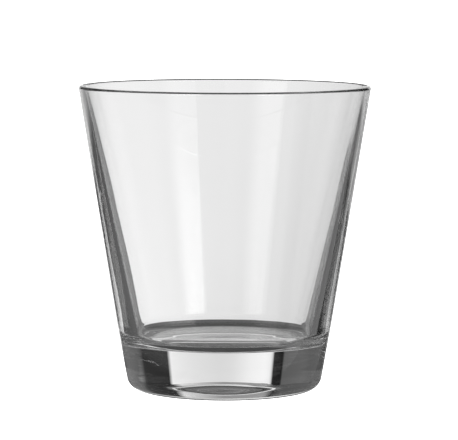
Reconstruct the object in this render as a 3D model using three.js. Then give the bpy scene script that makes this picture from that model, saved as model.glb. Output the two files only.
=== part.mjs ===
// Whisky glass: a conical tumbler of clear glass with a heavy solid base.
// Millimetres, +Z up. The origin is the centre of the foot, on the surface that the glass stands on.
// The real glass is one piece. It is divided here at the places that a glassmaker names: the foot ring,
// the heavy base, the bowl wall and the lip, which meet face to face on flat rings.

import * as THREE from 'three';

// Outside
const height = 90; // foot to top of the lip
const rimRadius = 43.2; // bowl's side, carried up to the full height
const shoulderRadius = 31.75; // outside, where the bowl wall stands on the base
const footRadius = 28.3; // base's side, carried down to the table
const heelRounding = 4.3; // radius of the foot's outer edge
const lipRounding = 0.75; // radius of the lip, half the wall's thickness there

// Cavity
const floorHeight = 14.4; // floor's edge, above the table
const floorRounding = 4.8; // radius between the floor and the wall
const floorLean = THREE.MathUtils.degToRad(3); // slope of the dished floor at its edge
const floorWall = 5.4; // wall's thickness at the height of the floor

// Underside
const puntRadius = 20.3; // hollow under the base
const puntHeight = 5.1; // its crown, above the table

// Fineness of the surface
const turnSteps = 96; // sides to a full turn
const arcSteps = 6; // sides to each rounding
const same = 1e-6; // points closer than this are one

const down = -Math.PI / 2;
const up = Math.PI / 2;
const point = (radius, z) => new THREE.Vector2(radius, z);

// Points along an arc of the half-section, between two angles from the outward direction
function arc(centre, radius, from, to) {
  const points = [];
  for (let i = 0; i <= arcSteps; i += 1) {
    const angle = from + ((to - from) * i) / arcSteps;
    points.push(point(centre.x + radius * Math.cos(angle), centre.y + radius * Math.sin(angle)));
  }
  return points;
}

// Leans of the two outer sides from the vertical
const shoulderHeight = floorHeight + floorRounding;
const bowlLean = Math.atan((rimRadius - shoulderRadius) / (height - shoulderHeight));
const baseLean = Math.atan((shoulderRadius - footRadius) / shoulderHeight);

// Heel, tangent to the table and to the base's side
const heelInset = heelRounding / Math.cos(baseLean) - heelRounding * Math.tan(baseLean);
const heel = point(footRadius - heelInset, heelRounding);
const footTop = heelRounding * (1 - Math.sin(baseLean));

// Lip, tangent to the bowl's side and as high as the glass
const lipInset = lipRounding / Math.cos(bowlLean) + lipRounding * Math.tan(bowlLean);
const lip = point(rimRadius - lipInset, height - lipRounding);
const lipFoot = lip.y - lipRounding * Math.sin(bowlLean);

// Inner side of the wall, from the floor's edge up to a tangent on the lip
const floorEdge = point(footRadius + floorHeight * Math.tan(baseLean) - floorWall, floorHeight);
const toLip = lip.clone().sub(floorEdge);
const wallLean = Math.atan2(toLip.x, toLip.y) - Math.asin(lipRounding / toLip.length());

// Rounding of the floor's corner, tangent to the wall, and the dished floor, tangent to the rounding
const cornerInset = floorRounding / Math.cos(wallLean) - floorRounding * Math.tan(wallLean);
const corner = point(floorEdge.x - cornerInset, floorHeight + floorRounding);
const dishRadius = corner.x / Math.sin(floorLean) + floorRounding;
const dish = point(0, corner.y + (dishRadius - floorRounding) * Math.cos(floorLean));

// Hollow of the underside, a shallow cap of a sphere
const puntCurve = (puntRadius ** 2 + puntHeight ** 2) / (2 * puntHeight);
const punt = point(0, puntHeight - puntCurve);

// Outside of the glass, rising from the foot's bearing ring to the top of the lip
const outside = [
  point(puntRadius, 0),
  ...arc(heel, heelRounding, down, -baseLean),
  point(shoulderRadius, shoulderHeight),
  ...arc(lip, lipRounding, -bowlLean, up),
];

// Inside of the glass, rising from the bearing ring over the punt, along the axis and up the cavity
const inside = [
  ...arc(punt, puntCurve, Math.acos(puntRadius / puntCurve), up),
  ...arc(dish, dishRadius, down, down + floorLean),
  ...arc(corner, floorRounding, down + floorLean, -wallLean),
  ...arc(lip, lipRounding, Math.PI - wallLean, up),
];

// The stretch of a rising outline between two heights, cut off square at both
function stretch(outline, low, high) {
  const points = [];
  outline.forEach((end, i) => {
    const start = outline[Math.max(i - 1, 0)];
    for (const cut of [low, high]) {
      if (start.y < cut && cut < end.y) {
        points.push(start.clone().lerp(end, (cut - start.y) / (end.y - start.y)));
      }
    }
    if (low <= end.y && end.y <= high) {
      points.push(end);
    }
  });
  return points;
}

// Half-section of the glass between two heights: it starts and ends on the axis or closes on itself
function halfSection(low, high) {
  const around = [...stretch(outside, low, high), ...stretch(inside, low, high).reverse()];
  const loop = around.filter((p, i) => p.distanceTo(around.at(i - 1)) > same);
  const onAxis = (p) => Math.abs(p.x) < same;
  const start = loop.findIndex((p, i) => onAxis(p) && !onAxis(loop[(i + 1) % loop.length]));
  return start < 0 ? [...loop, loop[0]] : [...loop.slice(start), ...loop.slice(0, start)];
}

function clearGlass() {
  return new THREE.MeshStandardMaterial({
    color: 0xf4f6f6,
    roughness: 0.02,
    metalness: 0,
    transparent: true,
    opacity: 0.35,
  });
}

// One zone of the glass, turned about the axis between two heights
function zone(name, low, high) {
  const geometry = new THREE.LatheGeometry(halfSection(low, high), turnSteps);
  geometry.rotateX(Math.PI / 2);
  const mesh = new THREE.Mesh(geometry, clearGlass());
  mesh.name = name;
  return mesh;
}

const glass = new THREE.Group();
glass.add(zone('foot_ring', 0, footTop));
glass.add(zone('heavy_base', footTop, shoulderHeight));
glass.add(zone('bowl_wall', shoulderHeight, lipFoot));
glass.add(zone('rim_lip', lipFoot, height));

export default glass;
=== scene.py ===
"""Clear whisky tumbler in a white studio.

Metres, +Z up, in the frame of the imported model: the origin is in the middle of the foot, on the table.
The glass is drawn as one half-section, as a glassmaker draws a mould, and spun round its axis. Clear glass
shows only what stands round it, so a room, dark cards on the table and two soft lights give it its edges.
"""
import logging
import math
from dataclasses import dataclass, field
from enum import Enum
from typing import Callable

import bpy
from mathutils import Matrix, Vector


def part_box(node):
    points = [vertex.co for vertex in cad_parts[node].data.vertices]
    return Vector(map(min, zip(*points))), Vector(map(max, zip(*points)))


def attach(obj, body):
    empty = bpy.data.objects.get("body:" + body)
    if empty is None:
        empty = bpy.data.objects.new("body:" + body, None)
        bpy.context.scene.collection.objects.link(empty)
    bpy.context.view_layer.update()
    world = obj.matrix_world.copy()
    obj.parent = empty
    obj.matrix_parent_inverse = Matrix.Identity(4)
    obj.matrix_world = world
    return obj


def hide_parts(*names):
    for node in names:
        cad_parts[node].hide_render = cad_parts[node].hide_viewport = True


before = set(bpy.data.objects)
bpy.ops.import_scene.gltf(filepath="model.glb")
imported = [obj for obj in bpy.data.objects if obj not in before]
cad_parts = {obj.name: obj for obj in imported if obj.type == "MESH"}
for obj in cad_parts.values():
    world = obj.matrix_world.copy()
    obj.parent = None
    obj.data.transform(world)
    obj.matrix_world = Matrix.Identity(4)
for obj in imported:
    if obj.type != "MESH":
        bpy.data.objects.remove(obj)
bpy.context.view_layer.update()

log = logging.getLogger("tumbler")

MERGE_DISTANCE = 1e-7
DOWN = -math.pi / 2
UP = math.pi / 2

# Angles in degrees, each with its brightness
Stops = tuple[tuple[float, float], ...]


class SeenBy(Enum):
    """Who sees a part of the set."""

    GLASS = "glass"
    CAMERA = "camera"


class Side(Enum):
    """A side of the glass as the camera sees it, with its sign along X."""

    LEFT = -1
    RIGHT = 1


@dataclass(frozen=True)
class Spot:
    """A point of a half-section: its distance from the axis and its height."""

    radius: float
    height: float

    def placed(self, azimuth: float = 0.0) -> Vector:
        """The point in the frame, at an azimuth counted from +X, anticlockwise from above."""
        return Vector((self.radius * math.cos(azimuth), self.radius * math.sin(azimuth), self.height))

    def towards(self, other: "Spot", distance: float) -> "Spot":
        """The point that lies a distance from this one on the way to another.

        Args:
            other: the point that it is on the way to.
            distance: how far along it lies.

        Returns:
            The point.
        """
        share = distance / math.hypot(other.radius - self.radius, other.height - self.height)
        radius = self.radius + (other.radius - self.radius) * share
        height = self.height + (other.height - self.height) * share
        return Spot(radius, height)


def arc(centre: Spot, radius: float, start: float, end: float, steps: int) -> list[Spot]:
    """Points along an arc of a half-section.

    Args:
        centre: middle of the arc.
        radius: its radius.
        start: angle of its first point, from the outward direction.
        end: angle of its last point.
        steps: number of chords.

    Returns:
        The points, both ends included.
    """
    angles = [start + (end - start) * step / steps for step in range(steps + 1)]
    return [Spot(centre.radius + radius * math.cos(a), centre.height + radius * math.sin(a)) for a in angles]


def draw_outline(name: str, outline: list[Vector]) -> bpy.types.Object:
    """Draws a chain of edges, corner by corner, from a single point.

    Args:
        name: name of the new object.
        outline: corners of the chain, in the frame.

    Returns:
        The object, at the origin, with the chain as its only edges.
    """
    bpy.ops.object.select_all(action="DESELECT")
    bpy.ops.mesh.primitive_plane_add(size=outline[-1].length)
    piece = bpy.context.object
    piece.name = name
    piece.data.name = name
    bpy.ops.object.mode_set(mode="EDIT")
    bpy.ops.mesh.select_mode(type="VERT")
    bpy.ops.mesh.select_all(action="SELECT")
    bpy.ops.mesh.merge(type="CENTER")
    bpy.ops.transform.translate(value=outline[0])
    for corner, following in zip(outline, outline[1:]):
        bpy.ops.mesh.extrude_region_move(TRANSFORM_OT_translate={"value": following - corner})
    bpy.ops.mesh.select_all(action="DESELECT")
    bpy.ops.object.mode_set(mode="OBJECT")
    return piece


def turn_outline(piece: bpy.types.Object, steps: int) -> None:
    """Turns a drawn chain a full round about the upright axis and closes it.

    Args:
        piece: the object that holds the chain.
        steps: number of sides to the turn.
    """
    turn = piece.modifiers.new("turn", "SCREW")
    turn.axis = "Z"
    turn.angle = 2 * math.pi
    turn.steps = steps
    turn.render_steps = steps
    turn.use_merge_vertices = True
    turn.merge_threshold = MERGE_DISTANCE
    bpy.ops.object.modifier_apply(modifier=turn.name)
    bpy.ops.object.mode_set(mode="EDIT")
    bpy.ops.mesh.select_all(action="SELECT")
    bpy.ops.mesh.remove_doubles(threshold=MERGE_DISTANCE)
    bpy.ops.mesh.normals_make_consistent(inside=False)
    bpy.ops.mesh.select_all(action="DESELECT")
    bpy.ops.object.mode_set(mode="OBJECT")


@dataclass(frozen=True)
class GlassSizes:
    """Driving sizes of the glass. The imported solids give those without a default."""

    height: float
    rim_radius: float
    shoulder_height: float
    shoulder_radius: float
    foot_radius: float
    heel_rounding: float = 0.0043
    lip_rounding: float = 0.00075
    floor_rounding: float = 0.0048
    floor_lean: float = math.radians(3.0)
    floor_wall: float = 0.0054
    punt_radius: float = 0.0203
    punt_height: float = 0.0051

    @classmethod
    def from_frame(cls) -> "GlassSizes":
        """Reads the glass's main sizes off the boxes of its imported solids.

        Returns:
            The sizes, with both outer sides carried to the table and to the full height.
        """
        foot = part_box("foot_ring")[1]
        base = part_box("heavy_base")[1]
        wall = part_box("bowl_wall")[1]
        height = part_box("rim_lip")[1].z
        base_slope = (base.x - foot.x) / (base.z - foot.z)
        wall_slope = (wall.x - base.x) / (wall.z - base.z)
        return cls(
            height=height,
            rim_radius=base.x + wall_slope * (height - base.z),
            shoulder_height=base.z,
            shoulder_radius=base.x,
            foot_radius=foot.x - base_slope * foot.z,
        )


@dataclass(frozen=True)
class HalfSection:
    """The glass cut through its axis, from the crown of the punt round the outside and down to the floor."""

    sizes: GlassSizes
    arc_steps: int = 20
    support: float = 0.00015

    def outside_leans(self) -> tuple[float, float]:
        """Leans of the two outer sides.

        Returns:
            The leans of the base's side and of the bowl's side from the upright.
        """
        s = self.sizes
        base = math.atan((s.shoulder_radius - s.foot_radius) / s.shoulder_height)
        bowl = math.atan((s.rim_radius - s.shoulder_radius) / (s.height - s.shoulder_height))
        return base, bowl

    def punt(self) -> list[Spot]:
        """The hollow under the base, a shallow cap of a sphere.

        Returns:
            Its points, from its crown to its edge.
        """
        s = self.sizes
        curve = (s.punt_radius**2 + s.punt_height**2) / (2 * s.punt_height)
        edge = math.acos(s.punt_radius / curve)
        return arc(Spot(0, s.punt_height - curve), curve, UP, edge, self.arc_steps)

    def heel(self) -> list[Spot]:
        """The rounding between the table and the base's side.

        Returns:
            Its points, from the table upwards.
        """
        s = self.sizes
        lean = self.outside_leans()[0]
        inset = s.heel_rounding * (1 / math.cos(lean) - math.tan(lean))
        centre = Spot(s.foot_radius - inset, s.heel_rounding)
        return arc(centre, s.heel_rounding, DOWN, -lean, self.arc_steps)

    def lip_centre(self) -> Spot:
        """Middle of the round lip.

        Returns:
            The point that leaves the lip tangent to the bowl's side and as high as the glass.
        """
        s = self.sizes
        lean = self.outside_leans()[1]
        inset = s.lip_rounding * (1 / math.cos(lean) + math.tan(lean))
        return Spot(s.rim_radius - inset, s.height - s.lip_rounding)

    def floor_edge(self) -> Spot:
        """Where the inner side, carried down, meets the height of the floor.

        Returns:
            The point, in from the outer side by the wall's thickness there.
        """
        s = self.sizes
        height = s.shoulder_height - s.floor_rounding
        return Spot(s.foot_radius + height * math.tan(self.outside_leans()[0]) - s.floor_wall, height)

    def inner_lean(self) -> float:
        """Lean of the inner side, which rises from the floor's edge to a tangent on the lip.

        Returns:
            The lean from the upright.
        """
        edge, lip = self.floor_edge(), self.lip_centre()
        run, rise = lip.radius - edge.radius, lip.height - edge.height
        return math.atan2(run, rise) - math.asin(self.sizes.lip_rounding / math.hypot(run, rise))

    def lip(self) -> list[Spot]:
        """The round lip, from the bowl's outer side over the top to the inner side."""
        start, end = -self.outside_leans()[1], math.pi - self.inner_lean()
        return arc(self.lip_centre(), self.sizes.lip_rounding, start, end, self.arc_steps)

    def floor(self) -> list[Spot]:
        """The rounded corner of the cavity and its dished floor.

        Returns:
            Their points, from the inner side down to the axis.
        """
        s = self.sizes
        edge, lean = self.floor_edge(), self.inner_lean()
        inset = s.floor_rounding * (1 / math.cos(lean) - math.tan(lean))
        corner = Spot(edge.radius - inset, s.shoulder_height)
        dish = corner.radius / math.sin(s.floor_lean)
        crown = Spot(0, corner.height + dish * math.cos(s.floor_lean))
        bend = arc(corner, s.floor_rounding, -lean, DOWN + s.floor_lean, self.arc_steps)
        return bend + arc(crown, dish + s.floor_rounding, DOWN + s.floor_lean, DOWN, self.arc_steps)

    def supported(self, start: Spot, end: Spot) -> list[Spot]:
        """Two points just inside a straight stretch, which keep its smooth shading straight."""
        return [start.towards(end, self.support), end.towards(start, self.support)]

    def points(self) -> list[Spot]:
        """Every point of the half-section in order.

        Returns:
            The points, from the crown of the punt to the middle of the floor, no two alike.
        """
        shoulder = Spot(self.sizes.shoulder_radius, self.sizes.shoulder_height)
        punt, heel, lip, floor = self.punt(), self.heel(), self.lip(), self.floor()
        chain = [
            *punt,
            *self.supported(punt[-1], heel[0]),
            *heel,
            *self.supported(heel[-1], shoulder),
            shoulder,
            *self.supported(shoulder, lip[0]),
            *lip,
            *self.supported(lip[-1], floor[0]),
            *floor,
        ]
        return [p for i, p in enumerate(chain) if i == 0 or p != chain[i - 1]]


@dataclass(frozen=True)
class ClearGlass:
    """Colourless soda-lime glass with a faint ripple, flow lines in the base and a little wear on the foot.

    Lengths are in metres. Scales count the pattern's repeats to a metre.
    """

    name: str = "clear_glass"
    ior: float = 1.52
    body_colour: tuple[float, float, float, float] = (0.865, 0.865, 0.865, 1)
    body_density: float = 33.0
    ripple_scale: float = 90.0
    ripple_detail: float = 1.0
    ripple_depth: float = 0.000008
    flow_scale: tuple[float, float, float] = (40.0, 40.0, 650.0)
    flow_detail: float = 1.0
    flow_range: tuple[float, float] = (0.55, 0.7)
    flow_depth: float = 0.0000045
    base_top: float = 0.0165
    base_fade: float = 0.002
    polish_scale: float = 160.0
    polish_detail: float = 3.0
    polish: float = 0.004
    wear_height: float = 0.0003
    wear: float = 0.1

    def material(self) -> bpy.types.Material:
        """Makes the glass's material.

        Returns:
            The material.
        """
        made = bpy.data.materials.new(self.name)
        made.use_nodes = True
        shader = made.node_tree.nodes["Principled BSDF"]
        shader.inputs["Base Color"].default_value = (1, 1, 1, 1)
        shader.inputs["Transmission Weight"].default_value = 1.0
        shader.inputs["IOR"].default_value = self.ior
        sketch = NodeSketch(made.node_tree)
        place = sketch.add("TexCoord").outputs["Object"]
        height = sketch.add("SeparateXYZ", Vector=place).outputs["Z"]
        sketch.fill(shader.inputs["Normal"], self.surface(sketch, place, height))
        sketch.fill(shader.inputs["Roughness"], self.roughness(sketch, place, height))
        body = sketch.add("VolumeAbsorption", Color=self.body_colour, Density=self.body_density)
        sketch.fill(made.node_tree.nodes["Material Output"].inputs["Volume"], body.outputs["Volume"])
        return made

    def surface(
        self, sketch: "NodeSketch", place: bpy.types.NodeSocket, height: bpy.types.NodeSocket
    ) -> bpy.types.NodeSocket:
        """Draws the ripple that the mould leaves all over, and the level flow lines of the base.

        Args:
            sketch: where the nodes go.
            place: the point on the glass.
            height: its height.

        Returns:
            The normal of the rippled surface.
        """
        ripple = sketch.add("TexNoise", Vector=place, Scale=self.ripple_scale, Detail=self.ripple_detail)
        rippled = sketch.add("Bump", Distance=self.ripple_depth, Height=ripple.outputs["Fac"])
        drawn_out = sketch.add("Mapping", Vector=place, Scale=self.flow_scale).outputs["Vector"]
        flow = sketch.add("TexNoise", Vector=drawn_out, Scale=1.0, Detail=self.flow_detail)
        start, full = self.flow_range
        lines = sketch.add("MapRange", Value=flow.outputs["Fac"], From_Min=start, From_Max=full)
        top = self.base_top + self.base_fade
        in_base = sketch.add("MapRange", Value=height, From_Min=top, From_Max=self.base_top)
        lined = sketch.add(
            "Bump",
            Strength=in_base.outputs["Result"],
            Distance=self.flow_depth,
            Height=lines.outputs["Result"],
            Normal=rippled.outputs["Normal"],
        )
        return lined.outputs["Normal"]

    def roughness(
        self, sketch: "NodeSketch", place: bpy.types.NodeSocket, height: bpy.types.NodeSocket
    ) -> bpy.types.NodeSocket:
        """Draws the fire polish, uneven by a trace, and the fine wear of the ring that stands on the table.

        Args:
            sketch: where the nodes go.
            place: the point on the glass.
            height: its height.

        Returns:
            The roughness.
        """
        cloud = sketch.add("TexNoise", Vector=place, Scale=self.polish_scale, Detail=self.polish_detail)
        polished = sketch.math("MULTIPLY", cloud.outputs["Fac"], self.polish)
        worn = sketch.math("MULTIPLY", cloud.outputs["Fac"], self.wear)
        at_foot = sketch.add("MapRange", Value=height, From_Min=self.wear_height, From_Max=0.0)
        return sketch.mix(at_foot.outputs["Result"], polished, worn)


@dataclass
class Tumbler:
    """The glass itself: one unbroken piece that stands for every packed zone."""

    section: HalfSection
    finish: ClearGlass = field(default_factory=ClearGlass)
    name: str = "tumbler"
    slot: str = "clear_glass"
    turn_steps: int = 768

    def build(self) -> bpy.types.Object:
        """Spins the half-section, closes it and dresses it.

        Returns:
            The finished piece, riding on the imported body.
        """
        piece = draw_outline(self.name, [spot.placed() for spot in self.section.points()])
        turn_outline(piece, self.turn_steps)
        bpy.ops.object.shade_smooth()
        piece.data.materials.append(self.finish.material())
        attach(piece, "root")
        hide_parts("foot_ring", "heavy_base", "bowl_wall", "rim_lip")
        return piece


class NodeSketch:
    """A short way to lay out shader nodes."""

    def __init__(self, tree: bpy.types.NodeTree) -> None:
        """Starts on a node tree."""
        self.nodes = tree.nodes
        self.links = tree.links

    def add(self, kind: str, **inputs: object) -> bpy.types.Node:
        """Adds a node and fills its sockets.

        Args:
            kind: the node's type, without its ShaderNode prefix.
            inputs: value or output for each socket, by name with spaces as underscores.

        Returns:
            The node.
        """
        node = self.nodes.new("ShaderNode" + kind)
        for name, value in inputs.items():
            self.fill(node.inputs[name.replace("_", " ")], value)
        return node

    def fill(self, socket: bpy.types.NodeSocket, value: object) -> None:
        """Links an output to a socket, or sets the socket's value.

        Args:
            socket: the socket to fill.
            value: an output, or what the socket is set to.
        """
        if isinstance(value, bpy.types.NodeSocket):
            self.links.new(value, socket)
        else:
            socket.default_value = value

    def math(self, operation: str, *values: object) -> bpy.types.NodeSocket:
        """Adds a Math node.

        Args:
            operation: what it works out.
            values: value or output for each of its sockets.

        Returns:
            Its result.
        """
        node = self.nodes.new("ShaderNodeMath")
        node.operation = operation
        for socket, value in zip(node.inputs, values):
            self.fill(socket, value)
        return node.outputs["Value"]

    def mix(self, share: object, first: object, second: object) -> bpy.types.NodeSocket:
        """Adds a Mix node for numbers.

        Args:
            share: how far the result lies from the first number towards the second.
            first: value or output that a share of 0 gives.
            second: value or output that a share of 1 gives.

        Returns:
            Its result.
        """
        node = self.nodes.new("ShaderNodeMix")
        node.data_type = "FLOAT"
        self.fill(node.inputs["Factor"], share)
        self.fill(node.inputs["A"], first)
        self.fill(node.inputs["B"], second)
        return node.outputs["Result"]

    def ramp(self, angle: bpy.types.NodeSocket, stops: Stops) -> bpy.types.NodeSocket:
        """Adds a grey ramp over an angle, even beyond its first and last stops.

        Args:
            angle: the angle in radians.
            stops: angles in degrees and their brightness.

        Returns:
            The ramp's brightness.
        """
        low, high = stops[0][0], stops[-1][0]
        span = self.add("MapRange", Value=angle, From_Min=math.radians(low), From_Max=math.radians(high))
        node = self.add("ValToRGB", Fac=span.outputs["Result"])
        steps = node.color_ramp.elements
        steps.remove(steps[1])
        for i, (degrees, brightness) in enumerate(stops):
            place = (degrees - low) / (high - low)
            step = steps[0] if i == 0 else steps.new(place)
            step.position = place
            step.color = (brightness, brightness, brightness, 1)
        return node.outputs["Color"]


def glow(
    name: str, strength: Callable[[NodeSketch], object], cover: Callable[[NodeSketch], object] | None = None
) -> bpy.types.Material:
    """Makes a material for the set that gives light.

    Args:
        name: name of the material.
        strength: draws the nodes that say how bright it is.
        cover: draws the nodes that say how far it hides what is behind it. Without them it hides nothing.

    Returns:
        The material.
    """
    made = bpy.data.materials.new(name)
    made.use_nodes = True
    made.node_tree.nodes.clear()
    sketch = NodeSketch(made.node_tree)
    light = sketch.add("Emission", Strength=strength(sketch)).outputs["Emission"]
    clear = sketch.add("BsdfTransparent").outputs["BSDF"]
    if cover is None:
        both = sketch.add("AddShader")
    else:
        both = sketch.add("MixShader", Fac=cover(sketch))
    for socket, shader in zip(both.inputs[-2:], (clear, light)):
        sketch.fill(socket, shader)
    sketch.add("OutputMaterial", Surface=both.outputs["Shader"])
    return made


def put_on_set(piece: bpy.types.Object, seen_by: SeenBy) -> None:
    """Hides a piece of the set from those who don't see it.

    Args:
        piece: the piece.
        seen_by: who sees it.
    """
    by_camera = seen_by is SeenBy.CAMERA
    piece.visible_camera = by_camera
    piece.visible_transmission = not by_camera
    piece.visible_glossy = not by_camera
    piece.visible_diffuse = False
    piece.visible_shadow = False


@dataclass(frozen=True)
class Panorama:
    """The room round the glass as brightness by direction, in degrees.

    Azimuth 0 is straight behind the glass and 90 on its right, elevation 0 is level. A white wall stands
    behind the glass between dark screens, and the glossy table shows it again. Close by the table is dark.
    """

    wall: Stops = (
        (-112, 0.72), (-100, 0.26), (-25, 0.13), (-24.8, 0.005), (-20.1, 0.012), (-19, 1.14), (-16, 1.25),
        (-10, 1.18), (-3, 0.98), (2, 0.94), (12, 1.02), (22, 1.15), (23.5, 0.025), (41, 0.03), (47.5, 0.41),
        (100, 0.53), (112, 0.6),
    )
    above_wall: Stops = (
        (-112, 0.38), (-100, 0.18), (-25, 0.1), (-21, 0.03), (-17, 0.42), (0, 0.38), (17, 0.95), (21, 0.02),
        (41, 0.03), (46.5, 0.14), (100, 0.35), (112, 0.21),
    )
    table: Stops = (
        (-100, 0.57), (-40, 0.8), (-20, 1.14), (-5, 0.98), (3, 0.85), (20, 0.72), (40, 0.55), (104, 0.56),
        (107, 0.15), (119, 0.15), (122, 0.56),
    )
    near_table: Stops = (
        (-75, 0.57), (-60, 0.1), (-45, 0.12), (0, 0.08), (45, 0.2), (60, 0.35), (75, 0.46),
    )
    overhead: float = 0.23
    under: float = 0.042
    to_camera: float = 1.0
    near_table_from: float = -33.75
    table_from: float = -25.1
    wall_from: float = 0.0
    above_wall_from: float = 6.5
    overhead_from: float = 38.0
    softness: float = 0.6

    def build(self) -> None:
        """Makes the scene's world. The camera itself sees plain white."""
        world = bpy.data.worlds.new("room")
        bpy.context.scene.world = world
        world.use_nodes = True
        sketch = NodeSketch(world.node_tree)
        axes = sketch.add("SeparateXYZ", Vector=sketch.add("TexCoord").outputs["Generated"])
        azimuth = sketch.math("ARCTAN2", axes.outputs["X"], axes.outputs["Y"])
        elevation = sketch.math("ARCSINE", axes.outputs["Z"])
        layers = (
            (self.near_table_from, sketch.ramp(azimuth, self.near_table)),
            (self.table_from, sketch.ramp(azimuth, self.table)),
            (self.wall_from, sketch.ramp(azimuth, self.wall)),
            (self.above_wall_from, sketch.ramp(azimuth, self.above_wall)),
            (self.overhead_from, self.overhead),
        )
        room = self.under
        for start, brightness in layers:
            low, high = math.radians(start - self.softness), math.radians(start + self.softness)
            share = sketch.add("MapRange", Value=elevation, From_Min=low, From_Max=high)
            room = sketch.mix(share.outputs["Result"], room, brightness)
        by_camera = sketch.add("LightPath").outputs["Is Camera Ray"]
        back = sketch.nodes["Background"]
        sketch.fill(back.inputs["Color"], (1, 1, 1, 1))
        sketch.fill(back.inputs["Strength"], sketch.mix(by_camera, room, self.to_camera))


@dataclass(frozen=True)
class TableCard:
    """A dark card that lies on the table like a fan and that only the glass sees.

    Its points are distances from the middle line and behind the axis. Its angles, in degrees, are counted
    at the fan's tip from straight back. The card fades out to its outer side and to its far end.
    """

    name: str
    side: Side
    tip: tuple[float, float]
    inner_edge: tuple[tuple[float, float], ...]
    tones: Stops
    outer_fade: tuple[float, float]
    far_fade: tuple[float, float]
    height: float = -0.0003
    margin: float = 1.1
    outer_steps: int = 4

    def corners(self) -> list[Vector]:
        """The card's corners, up its inner edge and round its far end.

        Returns:
            The corners, in the frame.
        """
        across, back = self.tip
        last_across, last_back = self.inner_edge[-1]
        start = math.atan2(last_across - across, last_back - back)
        end = math.radians(self.outer_fade[1])
        far = arc(Spot(back, across), self.far_fade[1] * self.margin, start, end, self.outer_steps)
        points = [*self.inner_edge, *((spot.height, spot.radius) for spot in far)]
        return [Vector((self.side.value * x, y, self.height)) for x, y in points]

    def build(self) -> bpy.types.Object:
        """Adds the card.

        Returns:
            The card.
        """
        card = draw_outline(self.name, self.corners())
        bpy.ops.object.mode_set(mode="EDIT")
        bpy.ops.mesh.select_all(action="SELECT")
        bpy.ops.mesh.edge_face_add()
        bpy.ops.object.mode_set(mode="OBJECT")
        card.data.materials.append(glow(self.name, self.tone, self.cover))
        put_on_set(card, SeenBy.GLASS)
        return card

    def from_tip(self, sketch: NodeSketch) -> tuple[bpy.types.NodeSocket, bpy.types.NodeSocket]:
        """Distances of a point of the card from its tip.

        Args:
            sketch: where the nodes go.

        Returns:
            The distances outwards and backwards.
        """
        axes = sketch.add("SeparateXYZ", Vector=sketch.add("TexCoord").outputs["Object"])
        outwards = sketch.math("SUBTRACT", sketch.math("ABSOLUTE", axes.outputs["X"]), self.tip[0])
        return outwards, sketch.math("SUBTRACT", axes.outputs["Y"], self.tip[1])

    def tone(self, sketch: NodeSketch) -> bpy.types.NodeSocket:
        """Brightness by the angle at the tip."""
        return sketch.ramp(sketch.math("ARCTAN2", *self.from_tip(sketch)), self.tones)

    def cover(self, sketch: NodeSketch) -> bpy.types.NodeSocket:
        """Cover that fades to the outer side and to the far end.

        Args:
            sketch: where the nodes go.

        Returns:
            The cover, from 0 to 1.
        """
        outwards, backwards = self.from_tip(sketch)
        full, gone = (math.radians(angle) for angle in self.outer_fade)
        angle = sketch.math("ARCTAN2", outwards, backwards)
        sideways = sketch.add("MapRange", Value=angle, From_Min=gone, From_Max=full)
        squares = (sketch.math("MULTIPLY", part, part) for part in (outwards, backwards))
        length = sketch.math("SQRT", sketch.math("ADD", *squares))
        full, gone = self.far_fade
        far = sketch.add("MapRange", Value=length, From_Min=gone, From_Max=full)
        return sketch.math("MULTIPLY", sideways.outputs["Result"], far.outputs["Result"])


@dataclass(frozen=True)
class FootShadow:
    """The dark ring of the table close round the foot, which only the glass sees."""

    name: str = "foot_shadow"
    brightness: float = 0.18
    cover: float = 1.0
    inner_radius: float = 0.0275
    outer_radius: float = 0.035
    height: float = -0.0001
    turn_steps: int = 96

    def build(self) -> bpy.types.Object:
        """Adds the ring.

        Returns:
            The ring.
        """
        edges = Spot(self.inner_radius, self.height), Spot(self.outer_radius, self.height)
        ring = draw_outline(self.name, [edge.placed() for edge in edges])
        turn_outline(ring, self.turn_steps)
        ring.data.materials.append(glow(self.name, lambda sketch: self.brightness, lambda sketch: self.cover))
        put_on_set(ring, SeenBy.GLASS)
        return ring


@dataclass(frozen=True)
class SoftBox:
    """A tall soft light on the camera's side of the glass. It fades to its left, its top and its foot."""

    name: str
    azimuth: float
    brightness: float
    width: float
    high: float
    soft_share: float
    fade_start: float
    low: float = -0.1
    foot_share: float = 0.3
    distance: float = 0.9

    def build(self) -> bpy.types.Object:
        """Adds the light as a glowing card that only the glass sees.

        Returns:
            The card.
        """
        place = Spot(self.distance, (self.high + self.low) / 2).placed(UP - self.azimuth)
        bpy.ops.object.select_all(action="DESELECT")
        bpy.ops.mesh.primitive_plane_add(size=1, location=place, rotation=(UP, 0, -self.azimuth))
        card = bpy.context.object
        card.name = self.name
        card.scale = (self.width, self.high - self.low, 1)
        card.data.materials.append(glow(self.name, self.fading))
        put_on_set(card, SeenBy.GLASS)
        return card

    def fading(self, sketch: NodeSketch) -> bpy.types.NodeSocket:
        """Brightness that rises from the card's left edge and falls to its top and its foot.

        Args:
            sketch: where the nodes go.

        Returns:
            The brightness.
        """
        axes = sketch.add("SeparateXYZ", Vector=sketch.add("TexCoord").outputs["UV"])
        sideways = sketch.add("MapRange", Value=axes.outputs["X"], From_Max=self.soft_share)
        upwards = sketch.add("MapRange", Value=axes.outputs["Y"], From_Min=1.0, From_Max=self.fade_start)
        downwards = sketch.add("MapRange", Value=axes.outputs["Y"], From_Max=self.foot_share)
        share = sketch.math("MULTIPLY", sideways.outputs["Result"], upwards.outputs["Result"])
        share = sketch.math("MULTIPLY", share, downwards.outputs["Result"])
        return sketch.math("MULTIPLY", share, self.brightness)


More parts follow.
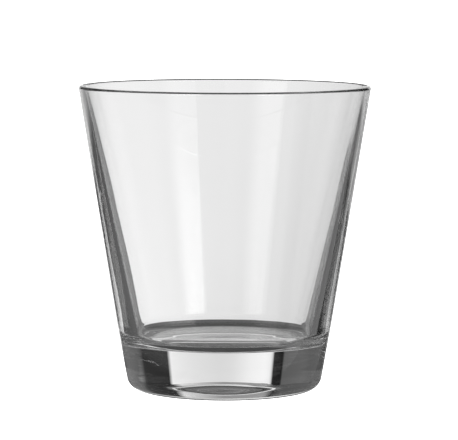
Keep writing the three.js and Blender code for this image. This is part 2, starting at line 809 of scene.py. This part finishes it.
@dataclass(frozen=True)
class Studio:
    """The set: the room, a dark ring and dark cards on the table, two soft lights and a white floor."""

    panorama: Panorama = field(default_factory=Panorama)
    floor_size: float = 12.0
    floor_height: float = -0.0006
    floor_brightness: float = 1.0
    shadow: FootShadow = field(default_factory=FootShadow)
    cards: tuple[TableCard, ...] = (
        TableCard(
            "dark_card_left",
            Side.LEFT,
            tip=(0.022, -0.042),
            inner_edge=(
                (0.022, -0.042), (0.04, 0.05), (0.058, 0.075), (0.102, 0.226), (0.165, 0.52), (0.185, 0.6),
            ),
            tones=((20, 0.098), (60, 0.098)),
            outer_fade=(45, 65),
            far_fade=(0.5, 0.64),
        ),
        TableCard(
            "dark_card_right",
            Side.RIGHT,
            tip=(0.0, -0.062),
            inner_edge=(
                (0.013, -0.04), (0.036, 0.05), (0.056, 0.08), (0.107, 0.213), (0.122, 0.29), (0.14, 0.38),
            ),
            tones=((25.5, 0.15), (26.3, 0.0), (33.1, 0.0), (33.9, 0.15)),
            outer_fade=(50, 64),
            far_fade=(0.395, 0.45),
        ),
    )
    boxes: tuple[SoftBox, ...] = (
        SoftBox(
            "soft_box_right",
            azimuth=math.radians(139.5),
            brightness=3.0,
            width=0.5,
            high=0.33,
            soft_share=0.4,
            fade_start=0.575,
        ),
        SoftBox(
            "soft_box_left",
            azimuth=math.radians(-141.75),
            brightness=1.36,
            width=0.52,
            high=0.48,
            soft_share=0.45,
            fade_start=0.75,
        ),
    )
    bounces: int = 128

    def build(self) -> None:
        """Builds the set and sets how light is followed through the glass."""
        self.panorama.build()
        for piece in (self.shadow, *self.cards, *self.boxes):
            log.info("%s: on the set", piece.build().name)
        bpy.ops.object.select_all(action="DESELECT")
        bpy.ops.mesh.primitive_plane_add(size=self.floor_size, location=(0, 0, self.floor_height))
        floor = bpy.context.object
        floor.name = "floor"
        floor.data.materials.append(glow("floor", lambda sketch: self.floor_brightness))
        put_on_set(floor, SeenBy.CAMERA)
        scene = bpy.context.scene
        scene.view_settings.view_transform = "Standard"
        scene.cycles.max_bounces = self.bounces
        scene.cycles.transmission_bounces = self.bounces
        scene.cycles.glossy_bounces = self.bounces


@dataclass(frozen=True)
class PhotoCamera:
    """The camera at the photograph's viewing angle."""

    frame_width: int = 458
    focal_pixels: float = 2946.1
    sensor_width: float = 36.0
    distance: float = 0.8679
    height: float = 0.1325
    pitch: float = math.radians(5.43)
    yaw: float = 0.0017
    roll: float = 0.0025
    shift_pixels: float = 0.5

    def build(self) -> bpy.types.Object:
        """Adds the camera and makes it the scene's own.

        Returns:
            The camera.
        """
        bpy.ops.object.camera_add(location=(0, -self.distance, self.height))
        camera = bpy.context.object
        camera.name = "photo_camera"
        turn = Matrix.Rotation(-self.yaw, 4, "Z")
        tilt = Matrix.Rotation(UP - self.pitch, 4, "X")
        camera.rotation_euler = (turn @ tilt @ Matrix.Rotation(self.roll, 4, "Z")).to_euler()
        camera.data.sensor_width = self.sensor_width
        camera.data.lens = self.focal_pixels / self.frame_width * self.sensor_width
        camera.data.shift_x = -self.shift_pixels / self.frame_width
        camera.data.shift_y = self.shift_pixels / self.frame_width
        bpy.context.scene.camera = camera
        return camera


def main() -> None:
    """Builds the glass, its set and its camera, and logs how many faces the glass has."""
    logging.basicConfig(level=logging.INFO, format="%(name)s: %(message)s")
    tumbler = Tumbler(HalfSection(GlassSizes.from_frame())).build()
    log.info("%s: %d faces", tumbler.name, len(tumbler.data.polygons))
    Studio().build()
    PhotoCamera().build()


if __name__ == "__main__":
    main()
